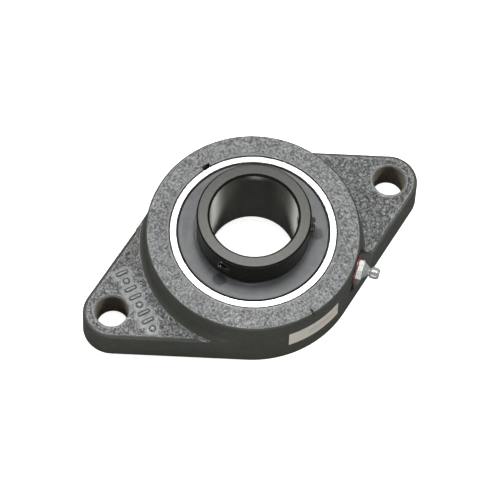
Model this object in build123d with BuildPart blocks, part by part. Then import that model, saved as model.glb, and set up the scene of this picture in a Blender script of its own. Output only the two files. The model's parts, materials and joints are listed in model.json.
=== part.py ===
from build123d import *

import os
from math import acos, cos, degrees, radians, sin, sqrt, tan

# Two-bolt flange bearing: a cast housing that holds a self-aligning ball bearing insert.
# The origin is where the bearing axis meets the mounting face. +Z is the bearing axis,
# away from the mounting face, and +X runs along the line of the bolts. Millimetres and
# degrees. Angles are about the bearing axis, from +X towards +Y.

# ---- housing ----
BOLT_SPACING = 184.0
BOLT_HOLE_RADIUS = 9.5
BOLT_HOLE_CHAMFER = 0.6
BODY_RADIUS = 63.9
EAR_RADIUS = 17.6
FLANGE_THICKNESS = 22.3
FLANGE_EDGE_ROUND = 2.0
BOSS_HEIGHT = 41.4
BOSS_EDGE_ROUND = 1.9
SKIRT_RADIUS = 5.0
DRAFT = 2.0
SEAT_CLEARANCE = 0.04
SEAT_MOUTH_CHAMFER = 0.5
REAR_BORE_RADIUS = 52.0
REAR_BORE_FLARE = 1.0
REAR_BORE_DEPTH = 14.0
LOADING_SLOT_WIDTH = 26.0
LOADING_SLOT_RELIEF = 0.3
NICK_ANGLE = -84.3
NICK_START_RADIUS = 58.5
NICK_DEPTH = 0.6
MARK_ROW_X = -76.0
MARK_ROW_START = 18.5
MARK_PITCH = 5.6
MARK_KINDS = ("bar", "pip", "bar", "bar", "pip", "bar", "bar", "pip")
MARK_LENGTH = 6.6
MARK_WIDTH = 1.5
MARK_PIP_RADIUS = 1.5
MARK_HEIGHT = 0.6
MARK_DRAFT = 12

# ---- bearing insert: widths are measured from its centre plane ----
CENTRE_HEIGHT = 28.4
SPHERE_RADIUS = 50.0
OUTER_RING_HALF_WIDTH = 12.7
OUTER_SHOULDER_RADIUS = 43.2
RING_EDGE_CHAMFER = 0.35
SEAL_BORE_RADIUS = 44.45
SEAL_BORE_START = 8.5
SEAL_GROOVE_START = 8.9
SEAL_GROOVE_END = 10.2
SEAL_GROOVE_DEPTH = 0.5
BALL_COUNT = 10
BALL_RADIUS = 7.144
PITCH_RADIUS = 38.75
GROOVE_RADIUS = 7.36
BALL_GAP = 0.02

# ---- inner ring ----
SHAFT_RADIUS = 25.4
INNER_RING_FRONT = 33.4
INNER_RING_REAR = 22.2
LAND_RADIUS = 34.4
LAND_HALF_WIDTH = 10.9
COLLAR_RADIUS = 33.0
COLLAR_CHAMFER = 1.0
BORE_CHAMFER = 1.3

# ---- set screws: one is run out of the collar, and the other is flush in it ----
SCREW_ANGLES = (-30.0, -150.0)
SCREW_OUTER_ENDS = (35.3, 32.9)
SCREW_SETBACK = 9.5
SCREW_LENGTH = 7.4
SCREW_RADIUS = 4.70
SCREW_ROOT_RADIUS = 4.25
SCREW_END_RADIUS = 4.05
SCREW_END_LENGTH = 0.5
SCREW_PITCH = 1.058
SCREW_TURNS = 6
SCREW_HEX_FLATS = 4.76
SCREW_HEX_DEPTH = 4.0
SCREW_HEX_CHAMFER = 0.45
CUP_RADIUS = 2.6
CUP_DEPTH = 0.9
SCREW_HOLE_RADIUS = 4.75
SCREW_HOLE_CHAMFER = 0.6

# ---- seals and flingers ----
SEAL_START = 8.6
SEAL_THICKNESS = 1.5
SEAL_RIM_GAP = 0.1
SEAL_LIP_GAP = 0.05
SEAL_LIP_END = 10.4
SEAL_LIP_THICKNESS = 0.5
FLINGER_START = 11.2
FLINGER_THICKNESS = 1.2
FLINGER_RADIUS = 43.5
FLINGER_EDGE = 0.3
FLINGER_HUB_HEIGHT = 1.1
FLINGER_HUB_THICKNESS = 1.3
PRESS_GAP = 0.02

# ---- cage ----
CAGE_SHEET = 0.9
CAGE_POCKET_RADIUS = 7.30
CAGE_INNER_RADIUS = 35.4
CAGE_OUTER_RADIUS = 42.1
RIVET_RADIUS = 1.2
RIVET_HEAD_RADIUS = 2.0
RIVET_HEAD_HEIGHT = 0.8
RIVET_EDGE_ROUND = 0.5

# ---- locking pin and its slot in the seat ----
PIN_ANGLE = 95.9
PIN_RADIUS = 2.5
PIN_INNER_END = 47.4
PIN_OUTER_END = 50.8
PIN_CHAMFER = 0.3
PIN_GAP = 0.03
PIN_SLOT_HALF_WIDTH = 2.6
PIN_SLOT_FLOOR = 51.0
PIN_SLOT_DEPTH = 5.0
PIN_SLOT_TRAVEL = 3.0

# ---- lubrication ----
FITTING_ANGLE = -44.0
SPOT_FACE_DISTANCE = 62.2
SPOT_FACE_RADIUS = 16.0
TAPPED_RADIUS = 4.95
TAPPED_DEPTH = 8.5
FEED_RADIUS = 2.5
LUBE_OFFSET = 7.1
LUBE_GROOVE_WIDTH = 2.2
LUBE_GROOVE_DEPTH = 0.9
LUBE_HOLE_RADIUS = 0.9
LUBE_HOLE_COUNT = 3
LUBE_POCKET_DEPTH = 1.6

# ---- grease fitting: lengths are along its own axis ----
FITTING_REACH = 76.4
WASHER_THICKNESS = 1.4
WASHER_RADIUS = 8.8
WASHER_EDGE_ROUND = 0.5
HEX_FLATS = 11.1
HEX_LENGTH = 3.0
SHOULDER_RADIUS = 5.2
SHANK_RADIUS = 4.9
SHANK_ROOT_RADIUS = 4.35
SHANK_END_RADIUS = 4.05
SHANK_LENGTH = 7.6
SHANK_END_LENGTH = 0.4
SHANK_PITCH = 0.94
SHANK_TURNS = 7
NECK_RADIUS = 2.4
NECK_LENGTH = 0.4
HEAD_LENGTH = 5.9
HEAD_RADIUS = 3.45
HEAD_TIP_RADIUS = 2.4
HEAD_EDGE = 0.35
CHANNEL_RADIUS = 0.8
VALVE_BORE_RADIUS = 1.3
VALVE_BORE_LENGTH = 8.0
VALVE_SEAT_LENGTH = 1.3
VALVE_MOUTH_RADIUS = 0.8
VALVE_MOUTH_LENGTH = 0.3
VALVE_BALL_RADIUS = 1.15
VALVE_BALL_SETBACK = 1.3
SPRING_RADIUS = 0.95
SPRING_WIRE_RADIUS = 0.15
SPRING_TURNS = 7

# ---- label ----
LABEL_START = -98.5
LABEL_ARC = 32.0
LABEL_BOTTOM = 14.0
LABEL_TOP = 28.0
LABEL_THICKNESS = 0.15

CUT_MARGIN = 1.0

bolt_x = BOLT_SPACING / 2
seat_radius = SPHERE_RADIUS + SEAT_CLEARANCE
tangent_angle = degrees(acos((BODY_RADIUS - EAR_RADIUS) / bolt_x))
outer_groove_centre = PITCH_RADIUS + BALL_RADIUS + BALL_GAP - GROOVE_RADIUS
inner_groove_centre = PITCH_RADIUS - BALL_RADIUS - BALL_GAP + GROOVE_RADIUS
front_end = CENTRE_HEIGHT + INNER_RING_FRONT
rear_end = CENTRE_HEIGHT - INNER_RING_REAR
screw_height = front_end - SCREW_SETBACK
flinger_face = FLINGER_START + FLINGER_THICKNESS


def wall_radius(height):
    """Radius of the drafted outer wall of the housing at a height."""
    return BODY_RADIUS - height * tan(radians(DRAFT))


def sphere_slice(radius, distance):
    """Radius of the circle that a plane cuts from a sphere, at a distance from its centre."""
    return sqrt(radius**2 - distance**2)


def radial_plane(angle, distance, height=CENTRE_HEIGHT):
    """Plane that faces out from the bearing axis, with its x direction level."""
    turn = radians(angle)
    return Plane(
        origin=(distance * cos(turn), distance * sin(turn), height),
        x_dir=(-sin(turn), cos(turn), 0),
        z_dir=(cos(turn), sin(turn), 0),
    )


def axial_plane(angle):
    """Plane that holds the bearing axis: x points out from the axis and y points up."""
    turn = radians(angle)
    return Plane(origin=(0, 0, 0), x_dir=(cos(turn), sin(turn), 0), z_dir=(sin(turn), -cos(turn), 0))


def turning_plane(base):
    """Plane for turned parts: its y direction is the normal of the base plane."""
    return Plane(origin=base.origin, x_dir=base.x_dir, z_dir=-base.y_dir)


def from_centre(points, side=1):
    """Moves section points from the bearing's centre plane to their height, on either side."""
    return [(radius, CENTRE_HEIGHT + side * distance) for radius, distance in points]


def thread_points(start, turns, pitch, crest, root):
    """Half section of a thread as plain ridges: radius and distance along the axis."""
    flat = 0.16 * pitch
    points = [(root, start)]
    for turn in range(turns):
        middle = start + (turn + 0.5) * pitch
        points.append((crest, middle - flat / 2))
        points.append((crest, middle + flat / 2))
        points.append((root, start + (turn + 1) * pitch))
    return points


def diamond_outline():
    """Outline of the flange at its back: body and ear circles joined by their tangents."""
    tangent_point = (BODY_RADIUS * cos(radians(tangent_angle)), BODY_RADIUS * sin(radians(tangent_angle)))
    with BuildSketch() as outline:
        with BuildLine():
            CenterArc((0, 0), BODY_RADIUS, tangent_angle, 180 - 2 * tangent_angle)
            CenterArc((0, 0), BODY_RADIUS, 180 + tangent_angle, 180 - 2 * tangent_angle)
            for side in (-1, 1):
                start = 90 - 90 * side - tangent_angle
                ear = CenterArc((side * bolt_x, 0), EAR_RADIUS, start, 2 * tangent_angle)
                Line(ear @ 0, (side * tangent_point[0], -side * tangent_point[1]))
                Line(ear @ 1, (side * tangent_point[0], side * tangent_point[1]))
        make_face()
    return outline.sketch


def finish(piece, name):
    """Labels a finished piece and writes it."""
    piece.label = name
    export_step(piece, f"parts/{name}.step")


os.makedirs("parts", exist_ok=True)

# ---------------------------------------------------------------- housing
# The skirt is the cast fillet between the boss and the top of the flange. The drafted
# sides of the flange trim it, so that it fades out where they meet the boss.
skirt_root = FLANGE_THICKNESS - SKIRT_RADIUS
skirt_top = FLANGE_THICKNESS + SKIRT_RADIUS
skirt_foot = wall_radius(FLANGE_THICKNESS) + SKIRT_RADIUS
skirt_inside = BODY_RADIUS - 2 * SKIRT_RADIUS

with BuildPart() as skirt:
    with BuildSketch(Plane.XZ):
        with BuildLine():
            Polyline(
                (wall_radius(skirt_top), skirt_top),
                (skirt_inside, skirt_top),
                (skirt_inside, skirt_root),
                (skirt_foot + CUT_MARGIN, skirt_root),
                (skirt_foot + CUT_MARGIN, FLANGE_THICKNESS),
                (skirt_foot, FLANGE_THICKNESS),
            )
            RadiusArc((skirt_foot, FLANGE_THICKNESS), (wall_radius(skirt_top), skirt_top), SKIRT_RADIUS)
        make_face()
    revolve(axis=Axis.Z)
    with BuildSketch():
        add(diamond_outline())
    extrude(amount=skirt_top + CUT_MARGIN, taper=DRAFT, mode=Mode.INTERSECT)

with BuildPart() as housing:
    with BuildSketch():
        add(diamond_outline())
    extrude(amount=FLANGE_THICKNESS, taper=DRAFT)
    fillet(housing.faces().sort_by(Axis.Z)[-1].edges(), FLANGE_EDGE_ROUND)
    add(skirt.part)
    with BuildSketch(Plane.XZ) as boss_section:
        with BuildLine():
            Polyline(
                (0, 0),
                (BODY_RADIUS, 0),
                (wall_radius(BOSS_HEIGHT), BOSS_HEIGHT),
                (0, BOSS_HEIGHT),
                close=True,
            )
        make_face()
        rim = boss_section.vertices().sort_by_distance((BODY_RADIUS, BOSS_HEIGHT))[0]
        fillet(rim, BOSS_EDGE_ROUND)
    revolve(axis=Axis.Z)

    # Seat: spherical between the rear bore and a small chamfer at its mouth.
    seat_rear_radius = sphere_slice(seat_radius, CENTRE_HEIGHT - REAR_BORE_DEPTH)
    seat_mouth = BOSS_HEIGHT - SEAT_MOUTH_CHAMFER
    seat_mouth_radius = sphere_slice(seat_radius, seat_mouth - CENTRE_HEIGHT)
    with BuildSketch(Plane.XZ):
        with BuildLine():
            Polyline(
                (seat_rear_radius, REAR_BORE_DEPTH),
                (REAR_BORE_RADIUS, REAR_BORE_DEPTH),
                (REAR_BORE_RADIUS + REAR_BORE_FLARE, 0),
                (0, 0),
                (0, BOSS_HEIGHT),
                (seat_mouth_radius + SEAT_MOUTH_CHAMFER, BOSS_HEIGHT),
                (seat_mouth_radius, seat_mouth),
            )
            ThreePointArc(
                (seat_mouth_radius, seat_mouth),
                (seat_radius, CENTRE_HEIGHT),
                (seat_rear_radius, REAR_BORE_DEPTH),
            )
        make_face()
    revolve(axis=Axis.Z, mode=Mode.SUBTRACT)

    # Loading slots: the insert goes in on edge from the rear and is turned into its seat.
    with BuildSketch():
        Circle(seat_radius + LOADING_SLOT_RELIEF)
        Rectangle(2 * BODY_RADIUS, LOADING_SLOT_WIDTH, mode=Mode.INTERSECT)
    extrude(amount=CENTRE_HEIGHT, mode=Mode.SUBTRACT)

    # Slot for the locking pin, with a round lower end and open at the front.
    slot_length = BOSS_HEIGHT - CENTRE_HEIGHT + PIN_SLOT_TRAVEL + CUT_MARGIN
    with BuildSketch(radial_plane(PIN_ANGLE, PIN_SLOT_FLOOR)):
        with Locations((0, slot_length / 2 - PIN_SLOT_TRAVEL)):
            Rectangle(2 * PIN_SLOT_HALF_WIDTH, slot_length)
        with Locations((0, -PIN_SLOT_TRAVEL)):
            Circle(PIN_SLOT_HALF_WIDTH)
    extrude(amount=-PIN_SLOT_DEPTH, mode=Mode.SUBTRACT)

    # Spot-face, tapped hole and feed hole of the grease fitting.
    spot_face = radial_plane(FITTING_ANGLE, SPOT_FACE_DISTANCE)
    feed_length = SPOT_FACE_DISTANCE - SPHERE_RADIUS + CUT_MARGIN
    for radius, length in (
        (SPOT_FACE_RADIUS, EAR_RADIUS),
        (TAPPED_RADIUS, -TAPPED_DEPTH),
        (FEED_RADIUS, -feed_length),
    ):
        with BuildSketch(spot_face):
            Circle(radius)
        extrude(amount=length, mode=Mode.SUBTRACT)

    # Pocket in the seat that leads the grease to the groove of the outer ring.
    pocket_length = LUBE_OFFSET + LUBE_GROOVE_WIDTH
    with BuildSketch(radial_plane(FITTING_ANGLE, SPHERE_RADIUS + LUBE_POCKET_DEPTH)):
        with Locations((0, -pocket_length / 2)):
            SlotCenterToCenter(pocket_length, 2 * FEED_RADIUS, rotation=90)
    extrude(amount=-2 * LUBE_POCKET_DEPTH - CUT_MARGIN, mode=Mode.SUBTRACT)

    # Bolt holes, with a broken edge at the front.
    with Locations((-bolt_x, 0, FLANGE_THICKNESS), (bolt_x, 0, FLANGE_THICKNESS)):
        Hole(BOLT_HOLE_RADIUS)
    hole_rims = housing.edges().filter_by(GeomType.CIRCLE).filter_by(
        lambda edge: abs(edge.radius - BOLT_HOLE_RADIUS) < PRESS_GAP
    )
    chamfer(hole_rims.group_by(Axis.Z)[-1], BOLT_HOLE_CHAMFER)

    # Plain foundry marks, raised on one ear: a row of bars and pips.
    mark_places = {"bar": [], "pip": []}
    for index, kind in enumerate(MARK_KINDS):
        mark_places[kind].append((MARK_ROW_X, MARK_ROW_START - index * MARK_PITCH))
    with BuildSketch(Plane.XY.offset(FLANGE_THICKNESS)):
        with Locations(mark_places["bar"]):
            SlotOverall(MARK_LENGTH, MARK_WIDTH)
        with Locations(mark_places["pip"]):
            Circle(MARK_PIP_RADIUS)
    extrude(amount=MARK_HEIGHT, taper=MARK_DRAFT)

    # Witness nick across the rim of the boss.
    with BuildSketch(radial_plane(NICK_ANGLE, NICK_START_RADIUS, BOSS_HEIGHT)):
        RegularPolygon(NICK_DEPTH, 4)
    extrude(amount=BODY_RADIUS - NICK_START_RADIUS, mode=Mode.SUBTRACT)
finish(housing.part, "housing")

# ---------------------------------------------------------------- outer ring
edge_distance = OUTER_RING_HALF_WIDTH - RING_EDGE_CHAMFER
ring_edge_radius = sphere_slice(SPHERE_RADIUS, edge_distance)
ring_face_radius = sphere_slice(SPHERE_RADIUS, OUTER_RING_HALF_WIDTH) - RING_EDGE_CHAMFER
seal_groove_radius = SEAL_BORE_RADIUS + SEAL_GROOVE_DEPTH

with BuildPart() as outer_ring:
    with BuildSketch(Plane.XZ):
        with BuildLine():
            Polyline(
                *from_centre(
                    [
                        (ring_edge_radius, edge_distance),
                        (ring_face_radius, OUTER_RING_HALF_WIDTH),
                        (OUTER_SHOULDER_RADIUS, OUTER_RING_HALF_WIDTH),
                        (OUTER_SHOULDER_RADIUS, -OUTER_RING_HALF_WIDTH),
                        (ring_face_radius, -OUTER_RING_HALF_WIDTH),
                        (ring_edge_radius, -edge_distance),
                    ]
                )
            )
            ThreePointArc(
                *from_centre(
                    [
                        (ring_edge_radius, -edge_distance),
                        (SPHERE_RADIUS, 0),
                        (ring_edge_radius, edge_distance),
                    ]
                )
            )
        make_face()
    revolve(axis=Axis.Z)

    # Ball groove.
    with BuildSketch(Plane.XZ):
        with Locations((outer_groove_centre, CENTRE_HEIGHT)):
            Circle(GROOVE_RADIUS)
    revolve(axis=Axis.Z, mode=Mode.SUBTRACT)

    # Seal bores, each with a snap groove for the rim of the seal.
    for side in (-1, 1):
        with BuildSketch(Plane.XZ):
            with BuildLine():
                Polyline(
                    *from_centre(
                        [
                            (OUTER_SHOULDER_RADIUS - CUT_MARGIN, SEAL_BORE_START),
                            (SEAL_BORE_RADIUS, SEAL_BORE_START),
                            (seal_groove_radius, SEAL_GROOVE_START),
                            (seal_groove_radius, SEAL_GROOVE_END),
                            (SEAL_BORE_RADIUS, SEAL_GROOVE_END + SEAL_GROOVE_DEPTH / 2),
                            (SEAL_BORE_RADIUS, edge_distance),
                            (SEAL_BORE_RADIUS + RING_EDGE_CHAMFER, OUTER_RING_HALF_WIDTH),
                            (OUTER_SHOULDER_RADIUS - CUT_MARGIN, OUTER_RING_HALF_WIDTH),
                        ],
                        side,
                    ),
                    close=True,
                )
            make_face()
        revolve(axis=Axis.Z, mode=Mode.SUBTRACT)

    # Lubrication groove around the outside, and its holes.
    groove_height = CENTRE_HEIGHT - LUBE_OFFSET
    groove_floor = sphere_slice(SPHERE_RADIUS, LUBE_OFFSET) - LUBE_GROOVE_DEPTH
    with BuildSketch(Plane.XZ):
        with Locations((groove_floor, groove_height)):
            Rectangle(2 * LUBE_GROOVE_WIDTH, LUBE_GROOVE_WIDTH, align=(Align.MIN, Align.CENTER))
    revolve(axis=Axis.Z, mode=Mode.SUBTRACT)
    for index in range(LUBE_HOLE_COUNT):
        angle = FITTING_ANGLE + index * 360 / LUBE_HOLE_COUNT
        with BuildSketch(radial_plane(angle, OUTER_SHOULDER_RADIUS - CUT_MARGIN, groove_height)):
            Circle(LUBE_HOLE_RADIUS)
        extrude(amount=SPHERE_RADIUS - OUTER_SHOULDER_RADIUS + CUT_MARGIN, mode=Mode.SUBTRACT)

    # Socket of the locking pin.
    with BuildSketch(radial_plane(PIN_ANGLE, PIN_INNER_END - PIN_GAP)):
        Circle(PIN_RADIUS + PIN_GAP)
    extrude(amount=SPHERE_RADIUS - PIN_INNER_END + CUT_MARGIN, mode=Mode.SUBTRACT)
finish(outer_ring.part, "outer_ring")

# ---------------------------------------------------------------- locking pin
with BuildPart() as locking_pin:
    with BuildSketch(radial_plane(PIN_ANGLE, PIN_INNER_END)):
        Circle(PIN_RADIUS)
    extrude(amount=PIN_OUTER_END - PIN_INNER_END)
    chamfer(locking_pin.edges().filter_by(GeomType.CIRCLE), PIN_CHAMFER)
finish(locking_pin.part, "locking_pin")

# ---------------------------------------------------------------- inner ring
with BuildPart() as inner_ring:
    with BuildSketch(Plane.XZ):
        with BuildLine():
            Polyline(
                (SHAFT_RADIUS, rear_end + BORE_CHAMFER),
                (SHAFT_RADIUS + BORE_CHAMFER, rear_end),
                (COLLAR_RADIUS - COLLAR_CHAMFER, rear_end),
                (COLLAR_RADIUS, rear_end + COLLAR_CHAMFER),
                (COLLAR_RADIUS, CENTRE_HEIGHT - LAND_HALF_WIDTH),
                (LAND_RADIUS, CENTRE_HEIGHT - LAND_HALF_WIDTH),
                (LAND_RADIUS, CENTRE_HEIGHT + LAND_HALF_WIDTH),
                (COLLAR_RADIUS, CENTRE_HEIGHT + LAND_HALF_WIDTH),
                (COLLAR_RADIUS, front_end - COLLAR_CHAMFER),
                (COLLAR_RADIUS - COLLAR_CHAMFER, front_end),
                (SHAFT_RADIUS + BORE_CHAMFER, front_end),
                (SHAFT_RADIUS, front_end - BORE_CHAMFER),
                close=True,
            )
        make_face()
    revolve(axis=Axis.Z)

    # Ball groove.
    with BuildSketch(Plane.XZ):
        with Locations((inner_groove_centre, CENTRE_HEIGHT)):
            Circle(GROOVE_RADIUS)
    revolve(axis=Axis.Z, mode=Mode.SUBTRACT)

    # Tapped holes of the set screws, with a countersunk mouth.
    for angle in SCREW_ANGLES:
        with BuildSketch(radial_plane(angle, SHAFT_RADIUS - CUT_MARGIN, screw_height)):
            Circle(SCREW_HOLE_RADIUS)
        extrude(amount=COLLAR_RADIUS - SHAFT_RADIUS + 2 * CUT_MARGIN, mode=Mode.SUBTRACT)
        with BuildSketch(radial_plane(angle, COLLAR_RADIUS, screw_height)):
            Circle(SCREW_HOLE_RADIUS + SCREW_HOLE_CHAMFER)
        extrude(amount=-SCREW_HOLE_CHAMFER, taper=45, mode=Mode.SUBTRACT)
finish(inner_ring.part, "inner_ring")

# ---------------------------------------------------------------- set screws
# Each screw is turned about its own axis with a cup point, and has a hexagon socket.
for index, (angle, outer_end) in enumerate(zip(SCREW_ANGLES, SCREW_OUTER_ENDS), start=1):
    point = radial_plane(angle, outer_end - SCREW_LENGTH, screw_height)
    head = point.offset(SCREW_LENGTH)
    thread = thread_points(SCREW_END_LENGTH, SCREW_TURNS, SCREW_PITCH, SCREW_RADIUS, SCREW_ROOT_RADIUS)
    with BuildPart() as set_screw:
        with BuildSketch(turning_plane(point)):
            with BuildLine():
                Polyline(
                    (0, CUP_DEPTH),
                    (CUP_RADIUS, 0),
                    (SCREW_END_RADIUS, 0),
                    *thread,
                    (SCREW_END_RADIUS, SCREW_LENGTH),
                    (0, SCREW_LENGTH),
                    close=True,
                )
            make_face()
        revolve(axis=Axis(point.origin, point.z_dir))
        with BuildSketch(head):
            RegularPolygon(SCREW_HEX_FLATS / 2, 6, major_radius=False)
        extrude(amount=-SCREW_HEX_DEPTH, mode=Mode.SUBTRACT)
        with BuildSketch(head):
            Circle(SCREW_HEX_FLATS / 2 + SCREW_HEX_CHAMFER)
        extrude(amount=-SCREW_HEX_CHAMFER, taper=45, mode=Mode.SUBTRACT)
    finish(set_screw.part, f"set_screw_{index}")

# ---------------------------------------------------------------- balls and cage
ball_places = PolarLocations(PITCH_RADIUS, BALL_COUNT).locations
for index, place in enumerate(ball_places, start=1):
    with BuildPart() as ball:
        with Locations((place.position.X, place.position.Y, CENTRE_HEIGHT)):
            Sphere(BALL_RADIUS)
    finish(ball.part, f"ball_{index:02d}")

# Each half of the cage is a flat ribbon with a pressed pocket over every ball, and is
# riveted to the other half between the balls.
half_pitch = 180 / BALL_COUNT
centre_plane = Plane.XY.offset(CENTRE_HEIGHT)
centre = (0, 0, CENTRE_HEIGHT)
for name, side in (("cage_front", 1), ("cage_rear", -1)):
    with BuildPart() as cage_half:
        with BuildSketch(centre_plane):
            Circle(CAGE_OUTER_RADIUS)
        extrude(amount=side * CAGE_SHEET)
        with Locations(centre), PolarLocations(PITCH_RADIUS, BALL_COUNT):
            Sphere(CAGE_POCKET_RADIUS + CAGE_SHEET)
        with BuildSketch(centre_plane):
            Circle(CAGE_OUTER_RADIUS)
            Circle(CAGE_INNER_RADIUS, mode=Mode.SUBTRACT)
        extrude(amount=side * (CAGE_POCKET_RADIUS + 2 * CAGE_SHEET), mode=Mode.INTERSECT)
        with Locations(centre), PolarLocations(PITCH_RADIUS, BALL_COUNT):
            Sphere(CAGE_POCKET_RADIUS, mode=Mode.SUBTRACT)
        with Locations(centre), PolarLocations(PITCH_RADIUS, BALL_COUNT, start_angle=half_pitch):
            Cylinder(RIVET_RADIUS + PRESS_GAP, 4 * CAGE_SHEET, mode=Mode.SUBTRACT)
    finish(cage_half.part, name)

with BuildPart() as cage_rivets:
    with Locations(centre), PolarLocations(PITCH_RADIUS, BALL_COUNT, start_angle=half_pitch):
        Cylinder(RIVET_RADIUS, 2 * CAGE_SHEET + RIVET_HEAD_HEIGHT)
        for side in (-1, 1):
            with Locations((0, 0, side * (CAGE_SHEET + RIVET_HEAD_HEIGHT / 2))):
                Cylinder(RIVET_HEAD_RADIUS, RIVET_HEAD_HEIGHT)
    rims = cage_rivets.edges().filter_by(GeomType.CIRCLE).group_by(Axis.Z)
    fillet(rims[0] + rims[-1], RIVET_EDGE_ROUND)
finish(cage_rivets.part, "cage_rivets")

# ---------------------------------------------------------------- seals and flingers
lip_radius = LAND_RADIUS + SEAL_LIP_GAP
rim_radius = seal_groove_radius - SEAL_RIM_GAP
web_end = SEAL_START + SEAL_THICKNESS
hub_radius = COLLAR_RADIUS + FLINGER_HUB_THICKNESS
hub_end = flinger_face + FLINGER_HUB_HEIGHT

# A seal snaps into the groove of the outer ring, and has two lips on the inner ring.
seal_section = [
    (lip_radius, SEAL_START + SEAL_LIP_THICKNESS / 2),
    (lip_radius + SEAL_LIP_THICKNESS, SEAL_START),
    (SEAL_BORE_RADIUS - SEAL_THICKNESS, SEAL_START),
    (rim_radius, SEAL_GROOVE_START + SEAL_RIM_GAP),
    (rim_radius, SEAL_GROOVE_END - SEAL_RIM_GAP),
    (SEAL_BORE_RADIUS - SEAL_THICKNESS, SEAL_LIP_END),
    (SEAL_BORE_RADIUS - 2 * SEAL_THICKNESS, web_end),
    (lip_radius + SEAL_THICKNESS, web_end),
    (lip_radius + SEAL_LIP_THICKNESS, SEAL_LIP_END),
    (lip_radius, SEAL_LIP_END),
    (lip_radius + SEAL_LIP_THICKNESS, web_end - SEAL_LIP_THICKNESS),
]

# A flinger is a disc with a low hub, pressed on the inner ring in front of the seal.
flinger_section = [
    (COLLAR_RADIUS + PRESS_GAP, FLINGER_START),
    (FLINGER_RADIUS - FLINGER_EDGE, FLINGER_START),
    (FLINGER_RADIUS, FLINGER_START + FLINGER_EDGE),
    (FLINGER_RADIUS, flinger_face - FLINGER_EDGE),
    (FLINGER_RADIUS - FLINGER_EDGE, flinger_face),
    (hub_radius + FLINGER_EDGE, flinger_face),
    (hub_radius, flinger_face + FLINGER_EDGE),
    (hub_radius, hub_end - FLINGER_EDGE),
    (hub_radius - FLINGER_EDGE, hub_end),
    (COLLAR_RADIUS + PRESS_GAP, hub_end),
]

for place, side in (("front", 1), ("rear", -1)):
    for kind, section in (("seal", seal_section), ("flinger", flinger_section)):
        with BuildPart() as turned_ring:
            with BuildSketch(Plane.XZ):
                with BuildLine():
                    Polyline(*from_centre(section, side), close=True)
                make_face()
            revolve(axis=Axis.Z)
        finish(turned_ring.part, f"{place}_{kind}")

# ---------------------------------------------------------------- grease fitting
fitting_axis = Axis(spot_face.origin, spot_face.z_dir)
tip = FITTING_REACH - SPOT_FACE_DISTANCE
hex_end = WASHER_THICKNESS + HEX_LENGTH
head_start = tip - HEAD_LENGTH
valve_start = tip - VALVE_BORE_LENGTH
shank_thread = thread_points(
    SHANK_END_LENGTH - SHANK_LENGTH, SHANK_TURNS, SHANK_PITCH, SHANK_RADIUS, SHANK_ROOT_RADIUS
)

with BuildPart() as grease_fitting:
    # Threaded shank, shoulder, neck and head.
    with BuildSketch(turning_plane(spot_face)):
        with BuildLine():
            Polyline(
                (0, -SHANK_LENGTH),
                (SHANK_END_RADIUS, -SHANK_LENGTH),
                *shank_thread,
                (SHANK_ROOT_RADIUS, hex_end),
                (SHOULDER_RADIUS, hex_end),
                (NECK_RADIUS + HEAD_EDGE, head_start - 2 * NECK_LENGTH),
                (NECK_RADIUS, head_start - NECK_LENGTH),
                (NECK_RADIUS, head_start),
                (HEAD_RADIUS - HEAD_EDGE, head_start + 2 * HEAD_EDGE),
                (HEAD_RADIUS, head_start + 3 * HEAD_EDGE),
                (HEAD_RADIUS, tip - 4 * HEAD_EDGE),
                (HEAD_TIP_RADIUS + HEAD_EDGE, tip - HEAD_EDGE),
                (HEAD_TIP_RADIUS, tip),
                (0, tip),
                close=True,
            )
        make_face()
    revolve(axis=fitting_axis)

    # Hexagon for a spanner.
    with BuildSketch(spot_face.offset(WASHER_THICKNESS)):
        RegularPolygon(HEX_FLATS / 2, 6, major_radius=False)
    extrude(amount=HEX_LENGTH)

    # Grease channel: narrow in the shank, wider for the valve, with a conical valve seat.
    with BuildSketch(turning_plane(spot_face)):
        with BuildLine():
            Polyline(
                (0, -SHANK_LENGTH - CUT_MARGIN),
                (CHANNEL_RADIUS, -SHANK_LENGTH - CUT_MARGIN),
                (CHANNEL_RADIUS, valve_start),
                (VALVE_BORE_RADIUS, valve_start),
                (VALVE_BORE_RADIUS, tip - VALVE_SEAT_LENGTH),
                (VALVE_MOUTH_RADIUS, tip - VALVE_MOUTH_LENGTH),
                (VALVE_MOUTH_RADIUS, tip + CUT_MARGIN),
                (0, tip + CUT_MARGIN),
                close=True,
            )
        make_face()
    revolve(axis=fitting_axis, mode=Mode.SUBTRACT)
finish(grease_fitting.part, "grease_fitting")

# The check ball closes the mouth of the fitting from inside, and the spring backs it.
valve_ball_distance = tip - VALVE_BALL_SETBACK
with BuildPart() as check_ball:
    with Locations(spot_face.offset(valve_ball_distance).origin):
        Sphere(VALVE_BALL_RADIUS)
finish(check_ball.part, "check_ball")

spring_start = valve_start + SPRING_WIRE_RADIUS + PRESS_GAP
touch_distance = sphere_slice(VALVE_BALL_RADIUS + SPRING_WIRE_RADIUS, SPRING_RADIUS)
spring_length = valve_ball_distance - touch_distance - PRESS_GAP - spring_start
with BuildPart() as fitting_spring:
    with BuildLine() as coil:
        Helix(
            spring_length / SPRING_TURNS,
            spring_length,
            SPRING_RADIUS,
            center=spot_face.offset(spring_start).origin,
            direction=spot_face.z_dir,
        )
    with BuildSketch(Plane(origin=coil.line @ 0, z_dir=coil.line % 0)):
        Circle(SPRING_WIRE_RADIUS)
    sweep()
finish(fitting_spring.part, "fitting_spring")

with BuildPart() as fitting_washer:
    with BuildSketch(spot_face):
        Circle(WASHER_RADIUS)
        Circle(TAPPED_RADIUS, mode=Mode.SUBTRACT)
    extrude(amount=WASHER_THICKNESS)
    outer_edges = fitting_washer.edges().filter_by(GeomType.CIRCLE).group_by(SortBy.RADIUS)[-1]
    fillet(outer_edges, WASHER_EDGE_ROUND)
finish(fitting_washer.part, "fitting_washer")

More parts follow.
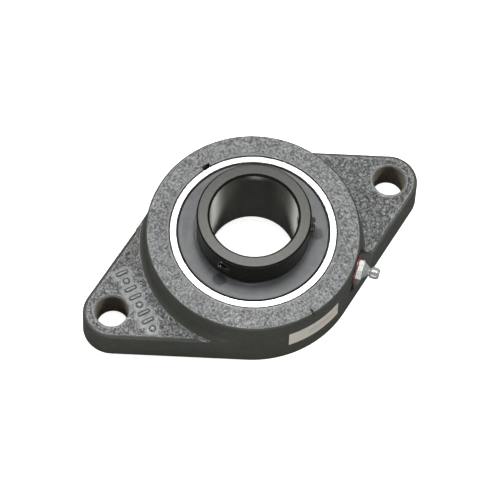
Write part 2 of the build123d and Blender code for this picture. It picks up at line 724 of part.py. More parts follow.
# ---------------------------------------------------------------- label
# A plain foil label that follows the drafted wall of the housing.
with BuildPart() as label:
    with BuildSketch(axial_plane(LABEL_START)):
        with BuildLine():
            Polyline(
                (wall_radius(LABEL_BOTTOM), LABEL_BOTTOM),
                (wall_radius(LABEL_BOTTOM) + LABEL_THICKNESS, LABEL_BOTTOM),
                (wall_radius(LABEL_TOP) + LABEL_THICKNESS, LABEL_TOP),
                (wall_radius(LABEL_TOP), LABEL_TOP),
                close=True,
            )
        make_face()
    revolve(axis=Axis.Z, revolution_arc=LABEL_ARC)
finish(label.part, "label")
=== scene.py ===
"""Looks of a two-bolt flange mount bearing: cast housing, ground and blacked steels, in a soft studio."""

import json
from math import cos, radians, sin

import bpy
import numpy as np
from mathutils import Matrix, Vector, noise
from mathutils.kdtree import KDTree


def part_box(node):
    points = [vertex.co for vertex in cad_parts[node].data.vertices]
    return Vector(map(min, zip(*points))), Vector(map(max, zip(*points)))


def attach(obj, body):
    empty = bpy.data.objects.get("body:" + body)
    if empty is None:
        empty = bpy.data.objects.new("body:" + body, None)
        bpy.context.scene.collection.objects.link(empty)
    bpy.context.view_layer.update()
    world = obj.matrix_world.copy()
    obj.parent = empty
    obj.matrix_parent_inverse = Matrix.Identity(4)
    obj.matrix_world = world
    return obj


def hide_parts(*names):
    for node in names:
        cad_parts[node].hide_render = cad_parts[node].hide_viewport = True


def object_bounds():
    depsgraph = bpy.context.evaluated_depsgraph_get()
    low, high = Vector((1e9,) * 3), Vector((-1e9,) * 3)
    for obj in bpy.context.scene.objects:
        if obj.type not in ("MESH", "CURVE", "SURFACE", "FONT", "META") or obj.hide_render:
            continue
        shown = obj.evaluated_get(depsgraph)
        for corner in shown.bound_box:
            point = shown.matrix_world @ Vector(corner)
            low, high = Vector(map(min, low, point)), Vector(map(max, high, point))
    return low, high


MM = 0.001

# Camera: an orbit about a point in the boss, with a slight roll; angles in degrees, distance in metres
CAMERA_TARGET = Vector((-2.4, -1.5, 20.0)) * MM
CAMERA_AZIMUTH = -30.8
CAMERA_ELEVATION = 65.06
CAMERA_ROLL = 3.18
CAMERA_DISTANCE = 1.3297
CAMERA_LENS = 163.35
SENSOR_WIDTH = 36.0

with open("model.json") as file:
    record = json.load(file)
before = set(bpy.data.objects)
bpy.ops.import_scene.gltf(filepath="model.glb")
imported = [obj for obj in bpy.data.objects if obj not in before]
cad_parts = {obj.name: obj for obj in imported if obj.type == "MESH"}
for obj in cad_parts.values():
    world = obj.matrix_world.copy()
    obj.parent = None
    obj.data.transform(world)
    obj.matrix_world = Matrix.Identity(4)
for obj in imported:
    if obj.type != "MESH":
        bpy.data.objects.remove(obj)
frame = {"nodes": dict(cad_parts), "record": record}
cad_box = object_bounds()
nodes = frame["nodes"]
mounts = {m["name"]: m for m in frame["record"]["mounts"]}

# Sizes read from the frame, in millimetres
BOLT_X = mounts["bolt_holes"]["dims"]["spacing_x_mm"] / 2
BOLT_HOLE_R = mounts["bolt_holes"]["dims"]["hole_r_mm"]
BORE_R = mounts["shaft_bore"]["dims"]["r_mm"]
HOUSING_TOP_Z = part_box("housing")[1].z / MM
FITTING_WAY = Vector(mounts["grease_port"]["axis"])
FITTING_Z = mounts["grease_port"]["pos_m"][2] / MM
LABEL_LOW, LABEL_HIGH = (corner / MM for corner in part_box("label"))

# Places on the bearing that the frame doesn't list, in millimetres and degrees
FLANGE_Z = 22.3
MOUTH_R = 48.9
HOLE_CHAMFER = 0.6
SEAT_CENTRE_Z = 28.4
SEAT_R = 50.04
RING_RIM_R = 48.3
FLINGER_FACE_Z = 40.8
SPOT_FACE_R = 16.0
SPOT_FACE_DISTANCE = 62.2
MARKS_FROM_R = 68.0
PIN_SLOT_ANGLE = 95.9
PIN_SLOT_OUTER_R = 53.0
PIN_SLOT_DEPTH = 9.0
NICK_ANGLE = -84.3
NICK_FROM_R = 58.5
NICK_DEPTH = 1.6

# Painted shade on the flinger below each set screw, a dark spot
SCREW_SHADE_SIZE = 5.0
SCREW_SHADE_FROM_AXIS = 36.8
SCREW_SHADE_ANGLES = (-150.0, -30.0)
SCREW_SHADES = [(cos(radians(a)) * SCREW_SHADE_FROM_AXIS, sin(radians(a)) * SCREW_SHADE_FROM_AXIS) for a in SCREW_SHADE_ANGLES]

# Label: two plain stripes along its far end, given by height and colour
STRIPE_FROM_X = LABEL_LOW.x + 0.35 * (LABEL_HIGH.x - LABEL_LOW.x)
STRIPES = [(LABEL_LOW.z + 8.4, (0.22, 0.20, 0.19, 1.0)), (LABEL_LOW.z + 5.6, (0.42, 0.13, 0.13, 1.0))]

# Cast skin: relief of rounded worms and pebbles with creases between them, in millimetres
SKIN_SEED = 7
SKIN_GRID = 0.45
WORM = 1.9
PEBBLE = 1.4
WORM_SHARE = 0.72
WORM_DEPTH = 0.45
DRIFT_SIZE = 3.0
DRIFT = 1.3
SWELL = 9.0
SWELL_DEPTH = 0.10
NOISE_PEAK = 0.5
CROWN_ROUND = 0.75
LEAST_SHARE = 0.01
SMOOTH_ANGLE = 50

# Share of the relief on walls and near the foundry marks, and calm of the finer bump on the boss
WALL_SHARE = 0.15
MARK_SHARE = 0.35
BOSS_CALM = 0.45
BOSS_ABOVE_FLANGE = 5.0

# Where the finishes of the casting begin and end, in millimetres
LEVEL_NORMAL = (0.90, 0.985)
EDGE_BAND = (1.6, 3.4)
EDGE_DROP = 4.0
FLANGE_REACH = 0.3
MARK_TOP = 1.0
MARK_SHADE_BAND = (0.7, 1.3)
MARK_SKIN = (2.0, 4.5)
MARK_CALM = (4.0, 2.0)
HOLE_FINISH = (0.5, 0.1)
HOLE_MARGIN = 2.0
SLOT_HALF_ANGLE = 0.06
NICK_HALF_ANGLE = 0.009
TOP_MARGIN = 0.2

# Bands, in millimetres beyond each machined place, over which the relief grows from nothing to full
MOUTH_SKIN = (0.4, 1.8)
BASE_SKIN = (0.3, 1.6)
HOLE_SKIN = (0.9, 2.2)
SPOT_SKIN = (0.2, 1.2)
SPOT_FACE_MARGIN = 0.3
LABEL_MARGIN = 1.0
BOSS_WALL_R = 66.0

# The seat of the visual casting stands this far off the ring, so that the ring turns free of its facets
SEAT_EASE = 0.15
SEAT_REACH = 0.2


# Material node trees
class Shader:
    """A procedural material over the part's own coordinates, in millimetres."""

    def __init__(self, name):
        self.material = bpy.data.materials.new(name)
        self.material.use_nodes = True
        self.tree = self.material.node_tree
        self.bsdf = self.tree.nodes["Principled BSDF"]
        coordinates = self.add("ShaderNodeTexCoord").outputs["Object"]
        scaled = self.add("ShaderNodeVectorMath", operation="SCALE", Vector=coordinates, Scale=1 / MM)
        self.place = scaled.outputs[0]
        self.facing = self.add("ShaderNodeNewGeometry").outputs["Normal"]

    def add(self, kind, **settings):
        node = self.tree.nodes.new(kind)
        for name, value in settings.items():
            socket = node.inputs.get(name) if hasattr(node.inputs, "get") else None
            if socket is None:
                setattr(node, name, value)
            else:
                self.feed(socket, value)
        return node

    def feed(self, socket, value):
        if isinstance(value, bpy.types.NodeSocket):
            self.tree.links.new(value, socket)
        else:
            socket.default_value = value

    def math(self, operation, *values, clamp=False):
        node = self.add("ShaderNodeMath", operation=operation, use_clamp=clamp)
        for socket, value in zip(node.inputs, values):
            self.feed(socket, value)
        return node.outputs[0]

    def part(self, vector):
        return self.add("ShaderNodeSeparateXYZ", Vector=vector).outputs

    def polar(self, along=1.0, turns=1.0):
        """Radius, height and angle about the bearing axis, for turned and ground surfaces."""
        x, y, z = self.part(self.place)
        square = self.math("ADD", self.math("MULTIPLY", x, x), self.math("MULTIPLY", y, y))
        radius = self.math("SQRT", square)
        angle = self.math("ARCTAN2", y, x)
        node = self.add("ShaderNodeCombineXYZ", X=self.math("MULTIPLY", radius, along))
        self.feed(node.inputs["Y"], self.math("MULTIPLY", z, along))
        self.feed(node.inputs["Z"], self.math("MULTIPLY", angle, turns))
        return node.outputs[0], radius

    def noise(self, size, vector=None, detail=2.0, roughness=0.5, distortion=0.0):
        """Noise with features of the given size in millimetres, 0 to 1."""
        node = self.add("ShaderNodeTexNoise", Scale=1 / size, Detail=detail, Roughness=roughness,
                        Distortion=distortion)
        self.feed(node.inputs["Vector"], vector or self.place)
        return node.outputs[0]

    def span(self, value, low, high, to_low=0.0, to_high=1.0):
        """Value remapped smoothly from low..high to the two ends."""
        node = self.add("ShaderNodeMapRange", interpolation_type="SMOOTHSTEP")
        for socket, item in zip(node.inputs, (value, low, high, to_low, to_high)):
            self.feed(socket, item)
        return node.outputs[0]

    def blend(self, share, first, second):
        """A mix of two colours."""
        node = self.add("ShaderNodeMix", data_type="RGBA")
        self.feed(node.inputs[0], share)
        self.feed(node.inputs[6], first)
        self.feed(node.inputs[7], second)
        return node.outputs[2]

    def bump(self, height, depth):
        """A bump of the given depth in millimetres."""
        return self.add("ShaderNodeBump", Strength=1.0, Distance=depth * MM, Height=height).outputs[0]

    def worn(self, reach):
        """1 at sharp outer edges and inner corners, fading over reach millimetres."""
        bevel = self.add("ShaderNodeBevel", samples=4, Radius=reach * MM)
        dot = self.add("ShaderNodeVectorMath", operation="DOT_PRODUCT", Vector=bevel.outputs[0])
        self.feed(dot.inputs[1], self.facing)
        return self.span(dot.outputs["Value"], 0.995, 0.93)

    def finish(self, **inputs):
        for name, value in inputs.items():
            self.feed(self.bsdf.inputs[name.replace("_", " ")], value)
        return self.material


def rgb(red, green, blue):
    return (red, green, blue, 1.0)


def cast_iron():
    """Dark cast skin: relief in the mesh and finer worms in the bump, with painted shade and painted
    highlights in its colour: hollows, creases, concave corners, walls and the foot of the marks are
    darkened as shade, and crowns, convex points and the turn from tops to walls are lightened as highlight.
    The masks are attributes of the casting's mesh, written by build_casting."""
    s = Shader("cast_iron")
    masks = ("crease", "level", "bored", "dirt", "calm")
    crease, level, bored, dirt, calm = [s.add("ShaderNodeAttribute", attribute_name=name).outputs["Fac"]
                                        for name in masks]
    curve = s.add("ShaderNodeNewGeometry").outputs["Pointiness"]
    broad = s.noise(14.0, detail=2.0)
    grain = s.noise(0.8, detail=1.0)
    fold = s.math("ABSOLUTE", s.math("SUBTRACT", s.noise(2.2, detail=1.0, distortion=1.0), 0.5))
    rest = s.math("MULTIPLY", calm, 0.9)
    worm = s.math("ADD", s.math("MULTIPLY", s.span(fold, 0.11, 0.02), s.math("SUBTRACT", 1.0, rest)),
                  s.math("MULTIPLY", rest, 0.42))
    # Painted shade: walls get a far darker tone than the level tops, which take the lit top tone
    wall = s.blend(broad, rgb(0.038, 0.041, 0.034), rgb(0.058, 0.061, 0.051))
    wall = s.blend(bored, wall, rgb(0.210, 0.185, 0.158))
    # Painted light from the relief: hollows take a darker tone as painted shade, crowns a lighter tone as
    # painted highlight
    hollow = s.blend(broad, rgb(0.050, 0.052, 0.052), rgb(0.070, 0.073, 0.073))
    crown = s.blend(broad, rgb(0.160, 0.166, 0.166), rgb(0.215, 0.222, 0.222))
    crease = s.math("MULTIPLY", crease, s.span(calm, 0.0, 0.6, 1.0, 0.65))
    high = s.math("MULTIPLY", s.span(crease, 0.40, 0.04), s.math("ADD", s.math("MULTIPLY", worm, 0.5), 0.5))
    top = s.blend(high, hollow, crown)
    # Painted shade: creases go near black
    tone = s.blend(s.span(crease, 0.12, 0.62), s.blend(level, wall, top), rgb(0.010, 0.010, 0.009))
    # Painted shade: concave corners, found by pointiness, go near black
    tone = s.blend(s.span(curve, 0.49, 0.42), tone, rgb(0.010, 0.010, 0.009))
    # Painted highlight: bright flecks on convex points, and a bright broken line where level tops turn down
    # to walls
    painted_glint = s.math("MULTIPLY", s.span(curve, 0.52, 0.58), s.span(s.noise(1.2), 0.3, 0.6))
    turn = s.math("MULTIPLY", s.span(level, 0.1, 0.4), s.span(level, 0.9, 0.6))
    turn = s.math("MULTIPLY", turn, s.span(s.noise(2.0), 0.4, 0.6, 0.0, 0.6))
    painted_glint = s.math("MAXIMUM", s.math("MULTIPLY", painted_glint, s.span(level, 0.0, 1.0, 0.15, 0.9)), turn)
    tone = s.blend(painted_glint, tone, rgb(0.32, 0.325, 0.315))
    # Painted shade: near black round the foot of the raised foundry marks and in the nick
    tone = s.blend(dirt, tone, rgb(0.012, 0.012, 0.011))
    rough = s.span(s.noise(2.5), 0.3, 0.7, 0.34, 0.46)
    rough = s.math("ADD", rough, s.span(level, 0.0, 1.0, 0.1, 0.0))
    height = s.math("ADD", worm, s.math("MULTIPLY", grain, 0.1))
    height = s.math("MULTIPLY", height, s.span(level, 0.0, 1.0, 0.05, 1.0))
    return s.finish(Base_Color=tone, Roughness=rough, Metallic=0.0, Normal=s.bump(height, 0.20),
                    Specular_IOR_Level=s.span(level, 0.0, 1.0, 0.2, 0.8))


def ground_steel(name, colour, rough, lay=0.25, depth=0.003, metallic=1.0, dark_from=None, screw_shades=()):
    """Steel turned or ground about the bearing axis: fine rings of grain, faint stains, bright edges.
    Beyond a given radius, round the edge of the ring, the steel is dark, and painted shade makes a dark
    spot round each given (x, y)."""
    s = Shader(name)
    rings, radius = s.polar(1 / lay, 0.6)
    lines = s.noise(1.0, rings, detail=2.0)
    stain = s.span(s.noise(5.0, detail=3.0), 0.35, 0.75)
    dark = rgb(*[c * 0.82 for c in colour])
    tone = s.blend(stain, rgb(*colour), dark)
    tone = s.blend(s.math("MULTIPLY", s.worn(0.25), 0.5), tone, rgb(*[min(1.0, c * 1.5) for c in colour]))
    # A dark band round the outer edge of the ring, beyond the given radius
    if dark_from:
        tone = s.blend(s.span(radius, dark_from, dark_from + 0.12), tone, rgb(0.02, 0.02, 0.018))
    # Painted shade: a dark spot with a wobbly edge round each given point, below the set screws
    for x, y in screw_shades:
        away = s.add("ShaderNodeVectorMath", operation="DISTANCE", Vector=s.place)
        wobble = s.span(s.noise(2.5), 0.2, 0.8, -0.8, 0.8)
        away.inputs[1].default_value = (x, y, FLINGER_FACE_Z)
        reach = s.math("ADD", away.outputs["Value"], wobble)
        tone = s.blend(s.span(reach, SCREW_SHADE_SIZE, SCREW_SHADE_SIZE * 0.5), tone, rgb(0.022, 0.021, 0.024))
    roughness = s.span(lines, 0.3, 0.7, rough * 0.8, rough * 1.25)
    return s.finish(Base_Color=tone, Roughness=roughness, Metallic=metallic, Normal=s.bump(lines, depth))


def black_oxide(name, ring=False):
    """Blacked steel with turning marks. A ring has ends ground grey and a bright honed bore, whose grain
    runs round the axis and draws each light out into a streak along the bore."""
    s = Shader(name)
    rings, radius = s.polar(3.0, 0.8)
    lines = s.noise(1.0, rings, detail=2.0)
    tone = s.blend(s.noise(9.0, detail=3.0), rgb(0.005, 0.005, 0.004), rgb(0.011, 0.011, 0.009))
    # Set screws: blacked steel with a brownish tint, a painted reflection of a reddish sheen in their
    # sockets
    if not ring:
        tone = s.blend(s.noise(3.0, detail=3.0), rgb(0.010, 0.008, 0.008), rgb(0.040, 0.025, 0.023))
    tone = s.blend(s.math("MULTIPLY", s.worn(0.3), 0.7), tone, rgb(0.10, 0.10, 0.095))
    rough = s.span(lines, 0.3, 0.7, 0.24, 0.29)
    metal = 0.0
    if ring:
        level = s.math("ABSOLUTE", s.part(s.facing)[2])
        ends = s.span(level, 0.90, 0.97)
        bore = s.math("MULTIPLY", s.span(radius, BORE_R + 0.4, BORE_R + 0.15), s.span(level, 0.3, 0.1))
        speck = s.span(s.noise(0.7, detail=3.0), 0.55, 0.75)
        grey = s.blend(speck, rgb(0.048, 0.048, 0.045), rgb(0.068, 0.068, 0.064))
        honed = s.blend(s.noise(6.0, detail=3.0), rgb(0.24, 0.24, 0.225), rgb(0.31, 0.31, 0.29))
        tone = s.blend(bore, s.blend(ends, tone, grey), honed)
        metal = s.math("MAXIMUM", s.math("MULTIPLY", ends, 0.9), bore)
        rough = s.math("ADD", rough, s.math("MULTIPLY", ends, 0.06))
        rough = s.math("ADD", rough, s.math("MULTIPLY", bore, 0.24))
        round_axis = s.add("ShaderNodeTangent", direction_type="RADIAL", axis="Z").outputs[0]
        s.finish(Specular_IOR_Level=0.1, Anisotropic=s.math("MULTIPLY", bore, 0.95),
                 Anisotropic_Rotation=0.25, Tangent=round_axis)
    return s.finish(Base_Color=tone, Roughness=rough, Metallic=metal, Normal=s.bump(lines, 0.0004))


def plain_steel(name, colour, rough, metallic=1.0, mottle=3.0, depth=0.01):
    """Small steel pieces: mottled colour, uneven gloss, fine grain and bright edges."""
    s = Shader(name)
    tone = s.blend(s.noise(mottle, detail=3.0), rgb(*[c * 0.8 for c in colour]), rgb(*colour))
    tone = s.blend(s.math("MULTIPLY", s.worn(0.2), 0.5), tone, rgb(*[min(1.0, c * 1.4) for c in colour]))
    rough = s.span(s.noise(mottle / 2), 0.3, 0.7, rough * 0.75, rough * 1.3)
    grain = s.noise(0.3, detail=3.0)
    return s.finish(Base_Color=tone, Roughness=rough, Metallic=metallic, Normal=s.bump(grain, depth))


def foil():
    """Matt foil label: faint creases and stains, and two plain stripes along its far end."""
    s = Shader("foil")
    tone = s.blend(s.noise(6.0, detail=4.0), rgb(0.57, 0.545, 0.475), rgb(0.67, 0.645, 0.57))
    x, _, z = s.part(s.place)
    printed = s.span(x, STRIPE_FROM_X, STRIPE_FROM_X + 1)
    for height, colour in STRIPES:
        line = s.span(s.math("ABSOLUTE", s.math("SUBTRACT", z, height)), 0.8, 0.5)
        tone = s.blend(s.math("MULTIPLY", printed, s.math("MULTIPLY", line, 0.45)), tone, colour)
    tone = s.blend(s.math("MULTIPLY", s.worn(0.3), 0.4), tone, rgb(0.75, 0.73, 0.66))
    return s.finish(Base_Color=tone, Roughness=s.span(s.noise(2.0), 0.3, 0.7, 0.38, 0.55), Metallic=0.2,
                    Normal=s.bump(s.noise(3.0, detail=3.0), 0.04))


def rubber():
    """Matt black rubber with fine moulded rings."""
    s = Shader("rubber")
    rings, _ = s.polar(2.0, 0.5)
    tone = s.blend(s.noise(4.0, detail=3.0), rgb(0.012, 0.012, 0.012), rgb(0.028, 0.027, 0.026))
    tone = s.blend(s.math("MULTIPLY", s.worn(0.3), 0.4), tone, rgb(0.06, 0.06, 0.06))
    return s.finish(Base_Color=tone, Roughness=s.span(s.noise(1.5), 0.3, 0.7, 0.5, 0.7),
                    Normal=s.bump(s.noise(1.0, rings), 0.02))


FINISHES = {
    "housing_casting": cast_iron(),
    "ring_steel": ground_steel("ring_steel", (0.76, 0.76, 0.735), 0.28, dark_from=RING_RIM_R),
    "black_steel": black_oxide("black_steel", ring=True),
    "screw_steel": black_oxide("screw_steel"),
    "pin_steel": plain_steel("pin_steel", (0.45, 0.45, 0.44), 0.3),
    "cage_steel": plain_steel("cage_steel", (0.58, 0.57, 0.54), 0.35),
    "rivet_steel": plain_steel("rivet_steel", (0.62, 0.61, 0.58), 0.3),
    "ball_steel": plain_steel("ball_steel", (0.80, 0.80, 0.81), 0.08, depth=0.0005),
    "seal_rubber": rubber(),
    "flinger_steel": ground_steel("flinger_steel", (0.083, 0.087, 0.090), 0.40, lay=0.4, metallic=0.3,
                                  screw_shades=SCREW_SHADES),
    "fitting_plate": plain_steel("fitting_plate", (0.36, 0.38, 0.36), 0.30, metallic=0.4, mottle=2.0),
    "red_washer": plain_steel("red_washer", (0.15, 0.030, 0.030), 0.30, metallic=0.0),
    "spring_steel": plain_steel("spring_steel", (0.60, 0.60, 0.58), 0.25),
    "label_foil": foil(),
}


def dress_frame():
    """Each CAD node gets the finish of its slot in the record."""
    for part in frame["record"]["subparts"]:
        node = nodes[part["node"]]
        node.data.materials.clear()
        node.data.materials.append(FINISHES[part["material_slot"]])


def smooth_step(value, low, high):
    """0 at low and 1 at high, with a soft start and end; low may be the larger."""
    share = np.clip((value - low) / (high - low), 0.0, 1.0)
    return share * share * (3 - 2 * share)


def read_points(mesh, attribute="co"):
    """A mesh's vertex positions or normals as rows, positions in millimetres."""
    flat = np.zeros(len(mesh.vertices) * 3, np.float32)
    mesh.vertices.foreach_get(attribute, flat)
    rows = flat.reshape(-1, 3).astype(float)
    return rows / MM if attribute == "co" else rows


def snap_to_circle(points, centre_x, radius, height, reach=0.8 * SKIN_GRID):
    """Moves the points near a level circle onto it, so that its edge is crisp."""
    x, y = points[:, 0] - centre_x, points[:, 1]
    distance = np.hypot(x, y)
    near = np.hypot(distance - radius, points[:, 2] - height) < reach
    scale = radius / distance[near]
    points[near, 0] = centre_x + x[near] * scale
    points[near, 1] = y[near] * scale
    points[near, 2] = height


def ease_seat(points):
    """Moves the points of the spherical seat away from its centre."""
    arm = points - np.array([0.0, 0.0, SEAT_CENTRE_Z])
    reach = np.linalg.norm(arm, axis=1)
    seat = np.abs(reach - SEAT_R) < SEAT_REACH
    points[seat] += arm[seat] / reach[seat, None] * SEAT_EASE


def beyond(distance, start, band):
    """A soft step across a band that begins at start."""
    return smooth_step(distance, start + band[0], start + band[1])


def skin_share(points, level):
    """How much cast relief each point has: all of it on top, less on walls, none where machined."""
    x, y, z = points.T
    radius = np.hypot(x, y)
    share = level * (1 - WALL_SHARE) + WALL_SHARE
    share *= beyond(radius, MOUTH_R, MOUTH_SKIN)
    share *= smooth_step(z, *BASE_SKIN)
    share *= beyond(bolt_distance(points), BOLT_HOLE_R, HOLE_SKIN)
    along = x * FITTING_WAY.x + y * FITTING_WAY.y
    across = np.hypot(y * FITTING_WAY.x - x * FITTING_WAY.y, z - FITTING_Z)
    spot = beyond(across, SPOT_FACE_R, SPOT_SKIN)
    share *= np.where(along > SPOT_FACE_DISTANCE - SPOT_FACE_MARGIN, spot, 1.0)
    under_label = (x > LABEL_LOW.x - LABEL_MARGIN) & (x < LABEL_HIGH.x + LABEL_MARGIN)
    under_label &= (z > LABEL_LOW.z - LABEL_MARGIN) & (z < LABEL_HIGH.z + LABEL_MARGIN)
    under_label &= (y < LABEL_HIGH.y + 2 * LABEL_MARGIN) & (radius < BOSS_WALL_R)
    return np.where(under_label, 0.0, share)


def bolt_distance(points):
    """Distance from the axis of the nearer bolt hole."""
    return np.hypot(np.abs(points[:, 0]) - BOLT_X, points[:, 1])


def distance_to(points, wanted, sources):
    """Distance from each wanted point to the nearest of the source points, and zero elsewhere."""
    tree = KDTree(int(sources.sum()))
    for number, spot in enumerate(points[sources]):
        tree.insert(spot, number)
    tree.balance()
    distance = np.zeros(len(points))
    for i in np.flatnonzero(wanted):
        distance[i] = tree.find(Vector(points[i]))[2]
    return distance


def even_mesh(cad):
    """A copy of the CAD node's mesh in even small faces that lie on it."""
    draft = bpy.data.objects.new("casting_draft", cad.data.copy())
    bpy.context.scene.collection.objects.link(draft)
    grid = draft.modifiers.new("grid", "REMESH")
    grid.mode = "VOXEL"
    grid.voxel_size = SKIN_GRID * MM
    wrap = draft.modifiers.new("wrap", "SHRINKWRAP")
    wrap.target = cad
    scene_state = bpy.context.evaluated_depsgraph_get()
    mesh = bpy.data.meshes.new_from_object(draft.evaluated_get(scene_state))
    bpy.data.objects.remove(draft)
    return mesh


def casting_masks(points, normals):
    """The masks of the cast finish at each point, and the share of relief it has."""
    x, y, z = points.T
    radius = np.hypot(x, y)
    angle = np.arctan2(y, x)
    ears = radius > MARKS_FROM_R
    flange = (np.abs(z - FLANGE_Z) < FLANGE_REACH) & ears

    # Level ground, fading where the flange turns down to its sides: there the colour goes to the darker
    # wall tone, a painted shade, and the relief goes smooth
    rim = ears & (np.abs(normals[:, 2]) < 0.5) & (z > FLANGE_Z - EDGE_DROP) & (z < FLANGE_Z)
    rim &= bolt_distance(points) > BOLT_HOLE_R + HOLE_MARGIN
    level = smooth_step(normals[:, 2], *LEVEL_NORMAL)
    edge = smooth_step(distance_to(points, flange, rim), *EDGE_BAND)
    level = np.where(flange, level * edge, level)

    # Machined: the bolt holes and the slot of the locking pin
    outer, inner = HOLE_FINISH
    bored = smooth_step(bolt_distance(points), BOLT_HOLE_R + outer, BOLT_HOLE_R + inner)
    slot = (np.abs(angle - radians(PIN_SLOT_ANGLE)) < SLOT_HALF_ANGLE) & (radius < PIN_SLOT_OUTER_R)
    slot &= (z > HOUSING_TOP_Z - PIN_SLOT_DEPTH) & (z < HOUSING_TOP_Z - TOP_MARGIN)
    bored[slot] = 1.0

    # Painted shade round the foot of the raised foundry marks and in the nick, and calmer skin on and about
    # the marks
    share = skin_share(points, level)
    raised = (x < 0) & ears & (z > FLANGE_Z + FLANGE_REACH) & (z < FLANGE_Z + MARK_TOP)
    beside = distance_to(points, flange & (x < 0), raised)
    near = beside > 0
    dirt = np.where(near, 1 - smooth_step(beside, *MARK_SHADE_BAND), 0.0)
    nick = (np.abs(angle - radians(NICK_ANGLE)) < NICK_HALF_ANGLE) & (radius > NICK_FROM_R)
    dirt[nick & (z > HOUSING_TOP_Z - NICK_DEPTH)] = 1.0
    share *= np.where(near, MARK_SHARE + (1 - MARK_SHARE) * smooth_step(beside, *MARK_SKIN), 1.0)
    share[raised] *= MARK_SHARE
    calm = np.where(z > FLANGE_Z + BOSS_ABOVE_FLANGE, BOSS_CALM, 0.0)
    calm = np.where(near, smooth_step(beside, *MARK_CALM), calm)
    calm[raised] = 1.0
    level[raised] = 1.0
    return {"level": level, "bored": bored, "dirt": dirt, "calm": calm}, share


def cell(spot, size):
    """0 in the creases and 1 on the crowns of a rounded cell pattern."""
    return min(1.0, abs(noise.noise(spot / size)) / NOISE_PEAK) ** CROWN_ROUND


def cast_relief(points, share):
    """How deep each point is pressed into the casting, and how far it lies in a crease.
    The seed fixes the offsets of noise_vector, which otherwise follow the clock."""
    noise.seed_set(SKIN_SEED)
    crease = np.zeros(len(points))
    press = np.zeros(len(points))
    for i in np.flatnonzero(share > LEAST_SHARE):
        spot = Vector(points[i])
        drift = noise.noise_vector(spot / DRIFT_SIZE) * DRIFT
        crown = WORM_SHARE * cell(spot + drift, WORM) + (1 - WORM_SHARE) * cell(spot - drift, PEBBLE)
        swell = (noise.noise(spot / SWELL) + 1) / 2
        crease[i] = (1.0 - crown) ** 2 * share[i]
        press[i] = share[i] * (WORM_DEPTH * (1.0 - crown) + SWELL_DEPTH * swell)
    return press, crease


def build_casting():
    """The housing as one mesh of even small faces, with the skin of the casting pressed into it."""
    mesh = even_mesh(nodes["housing"])
    points = read_points(mesh)
    snap_to_circle(points, 0.0, MOUTH_R, HOUSING_TOP_Z)
    for side in (-1, 1):
        snap_to_circle(points, side * BOLT_X, BOLT_HOLE_R + HOLE_CHAMFER, FLANGE_Z)
    normals = read_points(mesh, "normal")
    ease_seat(points)
    masks, share = casting_masks(points, normals)
    press, masks["crease"] = cast_relief(points, share)
    points -= normals * press[:, None]
    mesh.vertices.foreach_set("co", (points * MM).astype(np.float32).ravel())
    for name, values in masks.items():
        mesh.attributes.new(name, "FLOAT", "POINT").data.foreach_set("value", values.astype(np.float32))
    mesh.polygons.foreach_set("use_smooth", np.ones(len(mesh.polygons), bool))
    mesh.set_sharp_from_angle(angle=radians(SMOOTH_ANGLE))
    mesh.materials.clear()
    mesh.materials.append(FINISHES["housing_casting"])
    mesh.update()
    casting = bpy.data.objects.new("casting", mesh)
    bpy.context.scene.collection.objects.link(casting)
    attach(casting, "housing")
    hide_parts("housing")


# Studio
FLOOR_HALF = 4.0
FLOOR_DROP = 0.05 * MM
FLOOR_GLOW = 0.92
HORIZON_LIGHT = 0.03
OVERHEAD_LIGHT = 0.07
HORIZON_RISE = (0.15, 0.95)

# Softboxes: degrees round from the camera, elevation, distance, size, power, and how far nearer the camera
# than its target they aim, in metres. The left and right ones make the two streaks in the bore.
SOFTBOXES = {
    "key": (180, 65, 0.8, 0.28, 2.3, 0.14),
    "top": (180, 82, 0.6, 0.12, 0.9, 0.04),
    "left": (-104, 42, 1.3, 0.3, 10.0, 0.0),
    "right": (98, 42, 1.3, 0.3, 11.0, 0.0),
    "back": (180, 28, 1.3, 0.35, 1.8, 0.0),
    "front": (0, 3, 0.8, 0.2, 4.0, 0.0),
}


def lay_floor():
    """A plain floor: near white to the camera and grey to the object, and clear from below."""
    mesh = bpy.data.meshes.new("floor")
    z = cad_box[0].z - FLOOR_DROP
    corners = [(x * FLOOR_HALF, y * FLOOR_HALF, z) for x, y in ((-1, -1), (1, -1), (1, 1), (-1, 1))]
    mesh.from_pydata(corners, [], [(0, 1, 2, 3)])
    floor = bpy.data.objects.new("floor", mesh)
    bpy.context.scene.collection.objects.link(floor)
    s = Shader("floor")
    seen = s.add("ShaderNodeLightPath").outputs["Is Camera Ray"]
    s.finish(Base_Color=s.blend(seen, rgb(0.18, 0.18, 0.18), rgb(0.82, 0.82, 0.82)), Roughness=0.9)
    s.bsdf.inputs["Emission Color"].default_value = rgb(1, 1, 1)
    s.feed(s.bsdf.inputs["Emission Strength"], s.math("MULTIPLY", seen, FLOOR_GLOW))
    from_below = s.add("ShaderNodeNewGeometry").outputs["Backfacing"]
    s.feed(s.bsdf.inputs["Alpha"], s.math("SUBTRACT", 1.0, from_below))
    mesh.materials.append(s.material)


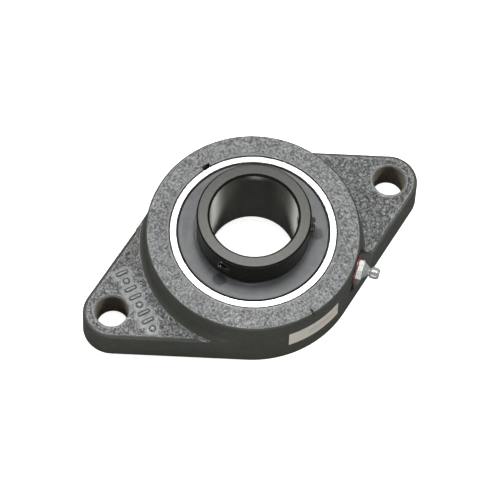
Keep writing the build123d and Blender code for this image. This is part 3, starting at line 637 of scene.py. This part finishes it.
def light_world():
    """A soft tent: bright overhead, dim at the horizon."""
    world = bpy.data.worlds.new("studio")
    bpy.context.scene.world = world
    world.use_nodes = True
    tree = world.node_tree
    background = tree.nodes["Background"]
    place = tree.nodes.new("ShaderNodeTexCoord").outputs["Generated"]
    height = tree.nodes.new("ShaderNodeSeparateXYZ")
    tree.links.new(place, height.inputs[0])
    rise = tree.nodes.new("ShaderNodeMapRange")
    rise.interpolation_type = "SMOOTHSTEP"
    for socket, value in zip(list(rise.inputs)[1:5], (*HORIZON_RISE, HORIZON_LIGHT, OVERHEAD_LIGHT)):
        socket.default_value = value
    tree.links.new(height.outputs["Z"], rise.inputs[0])
    tree.links.new(rise.outputs[0], background.inputs["Strength"])
    background.inputs["Color"].default_value = rgb(1, 1, 1)


def add_softbox(name, turn, elevation, distance, size, power, aim):
    """A square area light, turn degrees round from the camera."""
    data = bpy.data.lights.new(name, "AREA")
    data.shape = "SQUARE"
    data.size = size
    data.energy = power
    lamp = bpy.data.objects.new(name, data)
    bpy.context.scene.collection.objects.link(lamp)
    back = orbit(CAMERA_AZIMUTH + turn, elevation)
    lamp.location = CAMERA_TARGET + orbit(CAMERA_AZIMUTH, 0) * aim + back * distance
    lamp.rotation_mode = "QUATERNION"
    lamp.rotation_quaternion = (-back).to_track_quat("-Z", "Y")
    lamp.visible_camera = False


def orbit(azimuth, elevation):
    """The direction from the target to a viewer at azimuth 0 in front (-Y), in degrees."""
    a, e = radians(azimuth), radians(elevation)
    return Vector((sin(a) * cos(e), -cos(a) * cos(e), sin(e)))


def place_camera():
    """The photograph's view: the camera looks at its target from the orbit, with its roll."""
    data = bpy.data.cameras.new("camera")
    data.lens = CAMERA_LENS
    data.sensor_width = SENSOR_WIDTH
    camera = bpy.data.objects.new("camera", data)
    bpy.context.scene.collection.objects.link(camera)
    back = orbit(CAMERA_AZIMUTH, CAMERA_ELEVATION)
    facing = (-back).to_track_quat("-Z", "Y").to_matrix().to_4x4()
    turn = Matrix.Rotation(radians(CAMERA_ROLL), 4, back) @ facing
    camera.matrix_world = Matrix.Translation(CAMERA_TARGET + back * CAMERA_DISTANCE) @ turn
    bpy.context.scene.camera = camera


dress_frame()
build_casting()
lay_floor()
light_world()
for name, settings in SOFTBOXES.items():
    add_softbox(name, *settings)
place_camera()
bpy.context.scene.view_settings.view_transform = "Standard"
